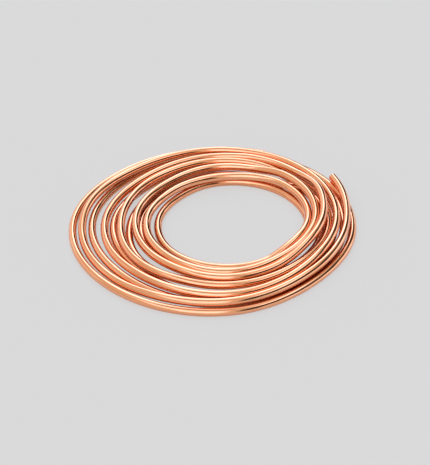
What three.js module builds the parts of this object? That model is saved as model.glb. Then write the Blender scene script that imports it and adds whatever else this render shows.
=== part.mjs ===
import * as THREE from 'three';

// A loose coil of soft copper tube, lying flat: one length of open-ended tube, wound by hand
// into eleven turns. Millimetres, +Z up. The origin is on the floor, in the middle of the coil's
// footprint.

// Driving dimensions.
const tubeDiameter = 9.525;       // 3/8 inch outside diameter
const wallThickness = 0.81;
const turnSpacing = 9.98;         // least distance between the centrelines of two turns
const outerSides = 12;            // flats of the tube's outer face, one of them straight down
const boreSides = 6;              // flats of the bore
const stepsPerTurn = 28;          // straight lengths in each turn
const finePerStep = 6;            // points worked out for each of them
const hiddenEndAngle = 71.6;      // degrees round from +X where the first turn starts, on the floor
const freeEndAngle = 33;          // where the last turn stops, on top of the others
const longestSpan = 36;           // degrees of a turn that stay up between two rests
const liftReach = 12;             // degrees over which a turn climbs onto one that it crosses
const axisX = 11.0;               // where the coil's axis stands from the middle of its footprint
const axisY = -0.39;

// The winding: a row for each turn in the order it was wound, and in each row the distance
// from the coil's axis to the tube's centreline at eight compass points, counter-clockwise
// from 45 degrees. Rows 1 to 7 go inwards, most of them along the floor, and rows 8 to 11 come out
// again on top of them. The last value leads the free end out past the turns below it.
const winding = [
  172, 168.5, 170.5, 180, 175.5, 166.5, 152, 157,
  162, 157.5, 154.5, 157, 152, 152.5, 141.9, 146,
  151.8, 140, 125, 131, 131.5, 141, 131.4, 134.5,
  140, 127.5, 107, 110.7, 121, 114, 117, 121,
  127.5, 126.5, 121, 121, 130.5, 128.5, 124.2, 126.5,
  113, 109, 95, 98, 101, 102, 103, 104,
  101.3, 92.3, 79, 77.5, 82, 86.8, 91.3, 103.3,
  104.5, 89.5, 84, 90, 98.8, 108, 103.8, 112.2,
  113.5, 114.5, 102, 104, 109.4, 118.2, 114, 121.5,
  135, 137.5, 131.5, 141, 143.5, 147.5, 135.2, 137,
  147.5, 153.5, 153, 168, 163.4, 159.5, 145.3, 149.5,
  170,
];
const firstCompassPoint = 45;
const compassStep = 45;

const finePerTurn = stepsPerTurn * finePerStep;
const turns = (winding.length - 1) / (360 / compassStep);
const steps = Math.round((turns + (freeEndAngle - hiddenEndAngle) / 360) * stepsPerTurn);

function angleAt(place) {
  // degrees round from +X, place counted in fine points from the hidden end
  return hiddenEndAngle + place / finePerTurn * 360;
}

function smooth(values, x) {
  // Catmull-Rom curve through evenly spaced values, x counted in spacings
  const last = values.length - 1;
  const i = Math.min(Math.floor(x), last - 1);
  const t = x - i;
  const before = values[Math.max(i - 1, 0)];
  const from = values[i];
  const to = values[i + 1];
  const after = values[Math.min(i + 2, last)];
  const bend = 2 * before - 5 * from + 4 * to - after;
  const twist = 3 * from - before - 3 * to + after;
  return 0.5 * (2 * from + (to - before) * t + bend * t * t + twist * t * t * t);
}

function turnRadii() {
  // distance of the centreline from the axis, at each fine point from the hidden end on
  const radii = [];
  for (let i = 0; i <= steps * finePerStep; i += 1) {
    radii.push(smooth(winding, (angleAt(i) - firstCompassPoint) / compassStep));
  }
  return radii;
}

function restOnEarlierTurns(radii, heights, i) {
  // the least height at which point i clears every turn wound before it
  let height = 0;
  for (let below = i - finePerTurn; below >= 0; below -= finePerTurn) {
    const across = radii[i] - radii[below];
    if (Math.abs(across) < turnSpacing) {
      height = Math.max(height, heights[below] + Math.sqrt(turnSpacing ** 2 - across ** 2));
    }
  }
  return height;
}

function runningMean(values, reach) {
  return values.map((_, i) => {
    const near = values.slice(Math.max(i - reach, 0), i + reach + 1);
    return near.reduce((sum, value) => sum + value, 0) / near.length;
  });
}

function within(values, reach, pick) {
  // the largest or the least of the values within reach of each one
  return values.map((_, i) => pick(...values.slice(Math.max(i - reach, 0), i + reach + 1)));
}

function turnHeights(radii) {
  // Height of the centreline over the lowest turn's. Each stretch takes the highest contact
  // within reach, and stays up between two rests that are close together. Two running means
  // follow, so the stiff tube rises and falls smoothly and never sinks into the turn below it.
  const reach = Math.round(liftReach / 360 * finePerTurn);
  const half = Math.floor(reach / 2);
  const span = Math.round(longestSpan / 2 / 360 * finePerTurn);
  const stretch = finePerTurn / 4;
  const contacts = [];
  const heights = [];
  for (let start = 0; start < radii.length; start += stretch) {
    const needed = Math.min(radii.length, start + stretch + 3 * reach + 2 * span);
    while (contacts.length < needed) {
      contacts.push(restOnEarlierTurns(radii, heights, contacts.length));
    }
    const from = Math.max(start - 2 * reach, 0);
    const highest = within(contacts, reach + span, Math.max);
    const held = within(highest, span, Math.min).slice(from);
    const smoothed = runningMean(runningMean(held, half), half);
    for (let i = start; i < Math.min(start + stretch, radii.length); i += 1) {
      heights[i] = smoothed[i - from];
    }
  }
  return heights;
}

class Winding extends THREE.Curve {
  // the tube's centreline, with its parameter counted in steps of equal angle

  constructor() {
    super();
    this.radii = turnRadii();
    this.heights = turnHeights(this.radii);
  }

  getPoint(t, target = new THREE.Vector3()) {
    const place = t * (this.radii.length - 1);
    const angle = THREE.MathUtils.degToRad(angleAt(place));
    const radius = smooth(this.radii, place);
    const height = smooth(this.heights, place) + flatToCentre;
    const x = axisX + radius * Math.cos(angle);
    const y = axisY + radius * Math.sin(angle);
    return target.set(x, y, height);
  }

  getUtoTmapping(u) {
    return u;
  }

  computeFrenetFrames(steps) {
    // the section's sideways and upward directions, with one flat of the tube always level
    const frames = { tangents: [], normals: [], binormals: [] };
    for (let i = 0; i <= steps; i += 1) {
      const along = this.getTangent(i / steps);
      const up = new THREE.Vector3(0, 0, 1).addScaledVector(along, -along.z).normalize();
      frames.tangents.push(along);
      frames.normals.push(up.clone().cross(along));
      frames.binormals.push(up);
    }
    return frames;
  }
}

function cornerRadius(diameter, sides) {
  // radius to the corners of the polygon that has the same area as the true circle
  const turn = 2 * Math.PI / sides;
  return diameter / 2 * Math.sqrt(turn / Math.sin(turn));
}

function ringOfPoints(diameter, sides) {
  const radius = cornerRadius(diameter, sides);
  const corners = Array.from({ length: sides }, (_, i) => (i + 0.5) / sides * 2 * Math.PI);
  return corners.map((angle) => new THREE.Vector2(radius * Math.cos(angle), radius * Math.sin(angle)));
}

const flatToCentre = cornerRadius(tubeDiameter, outerSides) * Math.cos(Math.PI / outerSides);

function copperTube() {
  const section = new THREE.Shape(ringOfPoints(tubeDiameter, outerSides));
  const bore = new THREE.Path(ringOfPoints(tubeDiameter - 2 * wallThickness, boreSides));
  section.holes.push(bore);
  const geometry = new THREE.ExtrudeGeometry(section, {
    steps,
    bevelEnabled: false,
    extrudePath: new Winding(),
  });
  const copper = new THREE.MeshStandardMaterial({ color: 0xe08a62, metalness: 1, roughness: 0.25 });
  const tube = new THREE.Mesh(geometry, copper);
  tube.name = 'copper_tube';
  return tube;
}

const coil = new THREE.Group();
coil.add(copperTube());

export default coil;
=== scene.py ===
import math

import bpy
import numpy as np
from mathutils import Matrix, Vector


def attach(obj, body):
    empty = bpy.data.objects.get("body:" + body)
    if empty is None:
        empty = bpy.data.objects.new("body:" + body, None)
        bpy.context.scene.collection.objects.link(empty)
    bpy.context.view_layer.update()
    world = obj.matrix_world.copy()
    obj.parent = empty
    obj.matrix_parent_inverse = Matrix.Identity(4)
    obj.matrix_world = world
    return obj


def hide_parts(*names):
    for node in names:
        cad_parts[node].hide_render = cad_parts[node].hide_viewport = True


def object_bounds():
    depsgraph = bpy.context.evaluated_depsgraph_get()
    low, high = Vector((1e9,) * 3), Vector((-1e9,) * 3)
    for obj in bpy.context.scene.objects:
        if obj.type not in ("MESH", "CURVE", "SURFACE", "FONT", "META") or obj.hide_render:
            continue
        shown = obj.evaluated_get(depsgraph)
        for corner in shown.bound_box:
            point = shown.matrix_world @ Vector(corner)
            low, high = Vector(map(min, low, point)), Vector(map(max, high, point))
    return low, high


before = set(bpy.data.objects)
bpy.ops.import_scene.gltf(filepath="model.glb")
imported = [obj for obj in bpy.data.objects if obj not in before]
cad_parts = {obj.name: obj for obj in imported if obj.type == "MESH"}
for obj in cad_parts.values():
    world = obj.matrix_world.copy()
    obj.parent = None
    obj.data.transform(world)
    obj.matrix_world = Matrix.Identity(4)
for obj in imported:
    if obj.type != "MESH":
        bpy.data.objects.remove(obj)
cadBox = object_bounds()
mm = 0.001

# The winding, in millimetres and degrees: a row for each turn, and in each row the distance
# from the coil's axis to the tube's centreline at eight compass points, counter-clockwise.
windingValues = {
    "tubeDiameter": 9.525,
    "wallThickness": 0.81,
    "turnSpacing": 9.98,  # least distance between the centrelines of two turns
    "finePerTurn": 168,  # points worked out in each turn
    "hiddenEndAngle": 71.6,  # where the first turn starts, on the floor
    "freeEndAngle": 33,  # where the last turn stops, on top of the others
    "longestSpan": 36,  # part of a turn that stays up between two rests
    "liftReach": 12,  # over which a turn climbs onto one that it crosses
    "axisX": 11.0,
    "axisY": -0.39,
    "firstCompassPoint": 45,
    "compassStep": 45,
    "rows": [
        [172, 168.5, 170.5, 180, 175.5, 166.5, 152, 157],
        [162, 157.5, 154.5, 157, 152, 152.5, 141.9, 146],
        [151.8, 140, 125, 131, 131.5, 141, 131.4, 134.5],
        [140, 127.5, 107, 110.7, 121, 114, 117, 121],
        [127.5, 126.5, 121, 121, 130.5, 128.5, 124.2, 126.5],
        [113, 109, 95, 98, 101, 102, 103, 104],
        [101.3, 92.3, 79, 77.5, 82, 86.8, 91.3, 103.3],
        [104.5, 89.5, 84, 90, 98.8, 108, 103.8, 112.2],
        [113.5, 114.5, 102, 104, 109.4, 118.2, 114, 121.5],
        [135, 137.5, 131.5, 141, 143.5, 147.5, 135.2, 137],
        [147.5, 153.5, 153, 168, 163.4, 159.5, 145.3, 149.5],
    ],
    "afterLastRow": 170,
}

# How the tube's skin is drawn: rings along it, corners round it, the bevel of the saw cut at
# each end in millimetres, and the angle in degrees past which an edge is sharp.
skinValues = {
    "ringsPerTurn": 112,
    "sides": 36,
    "cutBevel": 0.12,
    "sharpAngle": 30,
}


def smoothCurve(values, x):
    # Catmull-Rom through evenly spaced values, x counted in spacings:
    # half of 2b + (c-a)t + (2a-5b+4c-d)t^2 + (3b-a-3c+d)t^3
    last = len(values) - 1
    i = np.minimum(np.floor(x).astype(int), last - 1)
    t = x - i
    a = values[np.maximum(i - 1, 0)]
    b = values[i]
    c = values[i + 1]
    d = values[np.minimum(i + 2, last)]
    return 0.5 * (2 * b + (c - a) * t + (2 * a - 5 * b + 4 * c - d) * t**2
                  + (3 * b - a - 3 * c + d) * t**3)


def runningMean(values, reach):
    # mean of the values within reach of each one, from differences of the running sum
    total = np.concatenate([[0.0], np.cumsum(values)])
    i = np.arange(len(values))
    low = np.maximum(i - reach, 0)
    high = np.minimum(i + reach + 1, len(values))
    return (total[high] - total[low]) / (high - low)


def highestWithin(values, reach):
    # largest of the values within reach of each one
    padded = np.pad(values, reach, mode="edge")
    return np.lib.stride_tricks.sliding_window_view(padded, 2 * reach + 1).max(axis=1)


def restingHeights(radii):
    # Height of the centreline over the lowest turn's: where a turn passes within one spacing
    # of an earlier one it stands sqrt(spacing^2 - across^2) above it. Each quarter turn takes
    # the highest contact within reach, stays up between rests that are close together, and is
    # evened by two running means, as the stiff tube does.
    w = windingValues
    fine = w["finePerTurn"]
    spacing = w["turnSpacing"]
    reach = round(w["liftReach"] / 360 * fine)
    span = round(w["longestSpan"] / 2 / 360 * fine)
    stretch = fine // 4
    count = len(radii)
    heights = np.zeros(count)
    contacts = np.zeros(count)
    known = 0
    for start in range(0, count, stretch):
        needed = min(count, start + stretch + 3 * reach + 2 * span)
        here = np.arange(known, needed)
        for back in range(fine, needed, fine):
            upper = here[here >= back]
            across = radii[upper] - radii[upper - back]
            rise = np.sqrt(np.maximum(spacing**2 - across**2, 0))
            contact = np.where(rise > 0, heights[upper - back] + rise, 0)
            contacts[upper] = np.maximum(contacts[upper], contact)
        known = needed
        first = max(start - 2 * reach, 0)
        highest = highestWithin(contacts[:needed], reach + span)
        held = -highestWithin(-highest, span)[first:]
        eased = runningMean(runningMean(held, reach // 2), reach // 2)
        end = min(start + stretch, count)
        heights[start:end] = eased[start - first:end - first]
    return heights


def coilCentreline():
    # Points along the tube's centreline in metres: axis + radius (cos, sin) of an angle that
    # grows evenly, ringsPerTurn to a turn. The round tube's underside is on the floor, and its
    # outside is inside the box of the faceted model.
    w = windingValues
    knots = np.array([value for row in w["rows"] for value in row] + [w["afterLastRow"]], float)
    turns = len(w["rows"])
    fineCount = round((turns + (w["freeEndAngle"] - w["hiddenEndAngle"]) / 360) * w["finePerTurn"])
    angles = w["hiddenEndAngle"] + np.arange(fineCount + 1) / w["finePerTurn"] * 360
    radii = smoothCurve(knots, (angles - w["firstCompassPoint"]) / w["compassStep"])
    heights = restingHeights(radii)
    rings = round(fineCount * skinValues["ringsPerTurn"] / w["finePerTurn"])
    place = np.linspace(0, fineCount, rings + 1)
    angle = np.radians(w["hiddenEndAngle"] + place / w["finePerTurn"] * 360)
    r = smoothCurve(radii, place)
    rise = np.maximum(smoothCurve(heights, place), 0)
    room = (cadBox[1].z - cadBox[0].z) / mm - w["tubeDiameter"]
    x = w["axisX"] + r * np.cos(angle)
    y = w["axisY"] + r * np.sin(angle)
    z = w["tubeDiameter"] / 2 + rise * room / rise.max()
    points = np.stack([x, y, z], axis=1)
    for axis in (0, 1):
        middle = (points[:, axis].min() + points[:, axis].max()) / 2
        span = points[:, axis].max() - points[:, axis].min()
        cadSpan = (cadBox[1][axis] - cadBox[0][axis]) / mm - w["tubeDiameter"]
        cadMiddle = (cadBox[0][axis] + cadBox[1][axis]) / 2 / mm
        points[:, axis] = (points[:, axis] - middle) * min(1.0, cadSpan / span) + cadMiddle
    return points * mm


def tubeFrames(points):
    # direction along the tube, and its level side and upward directions: up is +Z less its
    # part along the tube, side is up x along
    along = np.gradient(points, axis=0)
    along /= np.linalg.norm(along, axis=1)[:, None]
    up = np.array([0.0, 0.0, 1.0]) - along * along[:, 2:]
    up /= np.linalg.norm(up, axis=1)[:, None]
    return along, np.cross(up, along), up


def buildTube(points):
    # The skin is one closed grid: rings x corners, where ring k lies at centre(k) +
    # radius(k) (cos a side + sin a up). The rings run along the outside, over the bevelled
    # cut at the free end, back along the bore, and over the cut at the hidden end.
    w = windingValues
    outer = w["tubeDiameter"] / 2 * mm
    inner = outer - w["wallThickness"] * mm
    bevel = skinValues["cutBevel"] * mm
    sides = skinValues["sides"]
    along, side, up = tubeFrames(points)
    count = len(points)
    order = np.concatenate([[0], np.arange(count), [count - 1] * 2, np.arange(count)[::-1], [0]])
    ringRadius = np.concatenate([[outer - bevel], np.full(count, outer), [outer - bevel],
                                 [inner + bevel], np.full(count, inner), [inner + bevel]])
    inset = np.zeros(len(order))
    inset[1] = bevel
    inset[count] = -bevel
    inset[count + 3] = -bevel
    inset[-2] = bevel
    centre = points[order] + along[order] * inset[:, None]
    a = np.arange(sides) / sides * 2 * np.pi
    outwards = (np.cos(a)[None, :, None] * side[order][:, None, :]
                + np.sin(a)[None, :, None] * up[order][:, None, :])
    verts = centre[:, None, :] + ringRadius[:, None, None] * outwards
    rings = len(order)
    k = np.arange(rings)[:, None]
    j = np.arange(sides)[None, :]
    kNext = (k + 1) % rings
    jNext = (j + 1) % sides
    quads = np.stack([k * sides + j, kNext * sides + j, kNext * sides + jNext, k * sides + jNext],
                     axis=-1).reshape(-1, 4)
    mesh = bpy.data.meshes.new("copperTube")
    mesh.from_pydata(verts.reshape(-1, 3), [], quads[:, ::-1])
    mesh.update()
    # place on the tube for the material: cos a, sin a and metres along it
    length = np.concatenate([[0.0], np.cumsum(np.linalg.norm(np.diff(points, axis=0), axis=1))])
    drawn = np.stack(np.broadcast_arrays(np.cos(a)[None, :], np.sin(a)[None, :],
                                         length[order][:, None]), axis=-1)
    attribute = mesh.attributes.new("alongTube", "FLOAT_VECTOR", "POINT")
    attribute.data.foreach_set("vector", drawn.astype(np.float32).ravel())
    mesh.shade_smooth()
    mesh.set_sharp_from_angle(angle=math.radians(skinValues["sharpAngle"]))
    tube = bpy.data.objects.new("copper_tube_skin", mesh)
    bpy.context.scene.collection.objects.link(tube)
    return tube


# The copper: bright drawn tube. Colours are scene-linear. A grain says how fine a pattern is:
# two numbers across the tube, and one along each metre of it.
copperValues = {
    "brightColour": (0.81, 0.385, 0.2),
    "warmColour": (0.78, 0.325, 0.158),
    "roughnessLow": 0.07,
    "roughnessHigh": 0.13,
    "drawMarks": 0.04,
    "handMarks": 0.07,
    "markDepth": 0.0002,
    "bandGrain": (0.5, 0.5, 14),
    "streakGrain": (9, 9, 6),
    "drawMarkGrain": (38, 38, 5),
    "scuffGrain": (2.5, 2.5, 160),
}


def feed(tree, socket, value):
    # links another node's output to the socket, or gives it a fixed number, vector or colour
    if isinstance(value, bpy.types.NodeSocket):
        tree.links.new(value, socket)
    elif socket.type == "RGBA":
        socket.default_value = (*value, 1)
    else:
        socket.default_value = value


def addNode(tree, kind, **sockets):
    # a node of that kind, with its input sockets fed by name
    node = tree.nodes.new(kind)
    for name, value in sockets.items():
        feed(tree, node.inputs[name], value)
    return node


def mixColours(tree, factor, first, second):
    # first where the factor is 0, second where it is 1; a Mix node's colours are inputs 6 and 7
    node = tree.nodes.new("ShaderNodeMix")
    node.data_type = "RGBA"
    for index, value in ((0, factor), (6, first), (7, second)):
        feed(tree, node.inputs[index], value)
    return node.outputs[2]


def mapRange(tree, value, fromRange, toRange, shape="LINEAR"):
    # carries the value from one range to the other, in a straight line or a smooth step
    node = addNode(tree, "ShaderNodeMapRange", Value=value)
    node.interpolation_type = shape
    for name, number in zip(("From Min", "From Max", "To Min", "To Max"), (*fromRange, *toRange)):
        node.inputs[name].default_value = number
    return node.outputs[0]


def maths(tree, operation, first, second):
    node = tree.nodes.new("ShaderNodeMath")
    node.operation = operation
    feed(tree, node.inputs[0], first)
    feed(tree, node.inputs[1], second)
    return node.outputs[0]


def grainNoise(tree, place, grain, detail, roughness=0.5):
    # soft noise from 0 to 1 at the place times the grain
    stretched = tree.nodes.new("ShaderNodeVectorMath")
    stretched.operation = "MULTIPLY"
    feed(tree, stretched.inputs[0], place)
    feed(tree, stretched.inputs[1], grain)
    node = addNode(tree, "ShaderNodeTexNoise", Vector=stretched.outputs[0], Scale=1.0,
                   Detail=detail, Roughness=roughness)
    return node.outputs["Fac"]


def copperMaterial():
    # colour: slow bands along the tube between bright and warm copper; roughness: lengthwise
    # streaks and scuffs; bump: fine marks drawn out along the tube, and shallow marks of handling
    c = copperValues
    material = bpy.data.materials.new("copper")
    material.use_nodes = True
    tree = material.node_tree
    shader = tree.nodes["Principled BSDF"]
    along = tree.nodes.new("ShaderNodeAttribute")
    along.attribute_name = "alongTube"
    place = along.outputs["Vector"]
    bands = grainNoise(tree, place, c["bandGrain"], 3)
    streaks = grainNoise(tree, place, c["streakGrain"], 3)
    drawMarks = grainNoise(tree, place, c["drawMarkGrain"], 2)
    scuffs = grainNoise(tree, place, c["scuffGrain"], 4, 0.6)
    tint = mapRange(tree, bands, (0.35, 0.65), (0, 1))  # the noise is mostly in this range
    colour = mixColours(tree, tint, c["brightColour"], c["warmColour"])
    tree.links.new(colour, shader.inputs["Base Color"])
    shader.inputs["Metallic"].default_value = 1.0
    wear = maths(tree, "ADD", streaks, scuffs)
    roughness = mapRange(tree, wear, (0.7, 1.3), (c["roughnessLow"], c["roughnessHigh"]))
    tree.links.new(roughness, shader.inputs["Roughness"])
    drawn = addNode(tree, "ShaderNodeBump", Height=drawMarks, Strength=c["drawMarks"],
                    Distance=c["markDepth"])
    handled = addNode(tree, "ShaderNodeBump", Height=scuffs, Strength=c["handMarks"],
                      Distance=c["markDepth"], Normal=drawn.outputs[0])
    tree.links.new(handled.outputs[0], shader.inputs["Normal"])
    return material


# The studio: a pale floor in a white room. Every lamp is a patch of the room: its light, the
# softness of its edge, and the ranges of x, y and z of the directions that it fills. A gap is
# the same, but takes a share of the light away, as a dark doorway would.
studioValues = {
    "floorHalfSide": 6.0,  # metres
    "floorGlow": 0.573,
    "floorColour": 0.12,
    "glowInMetal": 0.20,
    "colourInMetal": 0.64,
    "glowColour": (1.0, 0.985, 0.965),
    "roomLight": 0.91,
    "roomColour": (1.0, 0.99, 0.94),
    "lampColour": (0.86, 1.05, 1.58),
    "lamps": [
        {"light": 1.2, "edge": 0.08, "x": (-0.42, 0.18), "y": (-2, -0.35), "z": (0.22, 0.88)},
        {"light": 1.1, "edge": 0.08, "x": (-0.60, -0.42), "y": (-2, -0.05), "z": (0.48, 0.90)},
        {"light": 2.4, "edge": 0.04, "x": (-0.20, 0.10), "y": (0.66, 0.95)},
        {"light": 1.6, "edge": 0.04, "x": (-0.30, 0.04), "y": (0.50, 0.66)},
        {"light": 1.6, "edge": 0.03, "x": (0.36, 0.66), "y": (-0.35, 0.55), "z": (0.79, 0.885)},
        {"light": 0.4, "edge": 0.08, "x": (-0.35, 0.30), "y": (0.08, 0.52)},
        {"light": 0.4, "edge": 0.05, "y": (0.0, 2), "z": (0.08, 0.46)},
        {"light": 1.0, "edge": 0.04, "x": (0.80, 2), "y": (-0.5, 2), "z": (0.02, 0.20)},
    ],
    "gaps": [
        {"light": 0.88, "edge": 0.07, "x": (0.38, 0.66), "y": (-2, -0.35), "z": (0.05, 0.76)},
        {"light": 0.88, "edge": 0.03, "x": (0.58, 2), "y": (-0.80, 0.25), "z": (0.26, 0.765)},
        {"light": 0.90, "edge": 0.03, "x": (0.24, 2), "y": (0.22, 0.60), "z": (0.41, 0.72)},
        {"light": 0.92, "edge": 0.03, "x": (0.16, 2), "y": (0.60, 0.97), "z": (0.32, 0.64)},
        {"light": 0.95, "edge": 0.04, "x": (0.05, 0.48), "y": (0.85, 2), "z": (0.06, 0.46)},
        {"light": 0.45, "edge": 0.04, "x": (-0.4, 0.2), "y": (-0.20, 0.08), "z": (0, 2)},
        {"light": 0.20, "edge": 0.10, "x": (-2, -0.10), "y": (-0.5, 2), "z": (0.10, 0.30)},
    ],
}


def patch(tree, parts, lamp):
    # the lamp's light where every part lies in its range, falling smoothly to 0 at the edges
    edge = lamp["edge"]
    light = lamp["light"]
    for part in ("x", "y", "z"):
        if part in lamp:
            low, high = lamp[part]
            rise = mapRange(tree, parts[part], (low - edge, low + edge), (0, 1), "SMOOTHSTEP")
            fall = mapRange(tree, parts[part], (high - edge, high + edge), (1, 0), "SMOOTHSTEP")
            light = maths(tree, "MULTIPLY", light, maths(tree, "MULTIPLY", rise, fall))
    return light


def buildFloor():
    # A pale sheet: part of its paleness is a glow that the camera sees, and the rest is its
    # colour, which takes the object's shadow. Metal sees more of the colour and less glow.
    s = studioValues
    half = s["floorHalfSide"]
    corners = [(-half, -half, 0), (half, -half, 0), (half, half, 0), (-half, half, 0)]
    mesh = bpy.data.meshes.new("floor")
    mesh.from_pydata(corners, [], [(0, 1, 2, 3)])
    floor = bpy.data.objects.new("studio_floor", mesh)
    bpy.context.scene.collection.objects.link(floor)
    material = bpy.data.materials.new("floor")
    material.use_nodes = True
    tree = material.node_tree
    shader = tree.nodes["Principled BSDF"]
    shader.inputs["Roughness"].default_value = 1.0
    shader.inputs["Specular IOR Level"].default_value = 0.0
    shader.inputs["Emission Color"].default_value = (*s["glowColour"], 1)
    path = tree.nodes.new("ShaderNodeLightPath").outputs
    seen = maths(tree, "MAXIMUM", path["Is Camera Ray"], path["Is Transmission Ray"])
    metal = path["Is Glossy Ray"]
    glow = maths(tree, "ADD", maths(tree, "MULTIPLY", seen, s["floorGlow"]),
                 maths(tree, "MULTIPLY", metal, s["glowInMetal"]))
    tree.links.new(glow, shader.inputs["Emission Strength"])
    grey = mapRange(tree, metal, (0, 1), (s["floorColour"], s["colourInMetal"]))
    tree.links.new(grey, shader.inputs["Base Color"])
    mesh.materials.append(material)


def lightRoom():
    # light of a direction = (room + lamps) x what every gap leaves; its colour goes from the
    # room's to the lamps' by the lamps' share of that light
    s = studioValues
    world = bpy.data.worlds.new("studio")
    world.use_nodes = True
    bpy.context.scene.world = world
    tree = world.node_tree
    direction = tree.nodes.new("ShaderNodeTexCoord").outputs["Generated"]
    split = addNode(tree, "ShaderNodeSeparateXYZ", Vector=direction).outputs
    parts = {"x": split["X"], "y": split["Y"], "z": split["Z"]}
    lamps = 0.0
    for lamp in s["lamps"]:
        lamps = maths(tree, "ADD", lamps, patch(tree, parts, lamp))
    light = maths(tree, "ADD", lamps, s["roomLight"])
    share = maths(tree, "DIVIDE", lamps, light)
    for gap in s["gaps"]:
        left = maths(tree, "SUBTRACT", 1.0, patch(tree, parts, gap))
        light = maths(tree, "MULTIPLY", light, left)
        share = maths(tree, "MULTIPLY", share, left)
    colour = mixColours(tree, share, s["roomColour"], s["lampColour"])
    background = tree.nodes["Background"]
    tree.links.new(light, background.inputs["Strength"])
    tree.links.new(colour, background.inputs["Color"])


# The camera looks down on the coil along +Y: its distance from the coil's axis in metres, its
# elevation in degrees, the picture's scale and size, and the pixel where the axis stands.
cameraValues = {
    "distance": 1.45,
    "elevation": 35.1,
    "pixelsPerMetre": 1000 / 1.2,
    "axisPixel": (222, 224),
    "frame": (430, 465),
    "sensor": 36.0,
}


def placeCamera():
    # the view is turned, not shifted, until the axis falls on its pixel
    c = cameraValues
    focalPixels = c["pixelsPerMetre"] * c["distance"]
    elevation = math.radians(c["elevation"])
    forward = Vector((0, math.cos(elevation), -math.sin(elevation)))
    right = Vector((1, 0, 0))
    up = right.cross(forward)
    w = windingValues
    axis = Vector((w["axisX"], w["axisY"], w["tubeDiameter"] / 2)) * mm
    across = (c["frame"][0] / 2 - c["axisPixel"][0]) / focalPixels
    down = (c["frame"][1] / 2 - c["axisPixel"][1]) / focalPixels
    look = forward + right * across - up * down
    camera = bpy.data.objects.new("camera", bpy.data.cameras.new("camera"))
    camera.data.sensor_width = c["sensor"]
    camera.data.lens = c["sensor"] * focalPixels / max(c["frame"])
    camera.location = axis - forward * c["distance"]
    camera.rotation_mode = "QUATERNION"
    camera.rotation_quaternion = look.to_track_quat("-Z", "Y")
    bpy.context.scene.collection.objects.link(camera)
    bpy.context.scene.camera = camera


print("camera")
placeCamera()
print("tube")
tube = buildTube(coilCentreline())
tube.data.materials.append(copperMaterial())
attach(tube, "root")
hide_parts("copper_tube")
print("studio")
buildFloor()
lightRoom()
bpy.context.scene.view_settings.view_transform = "Standard"
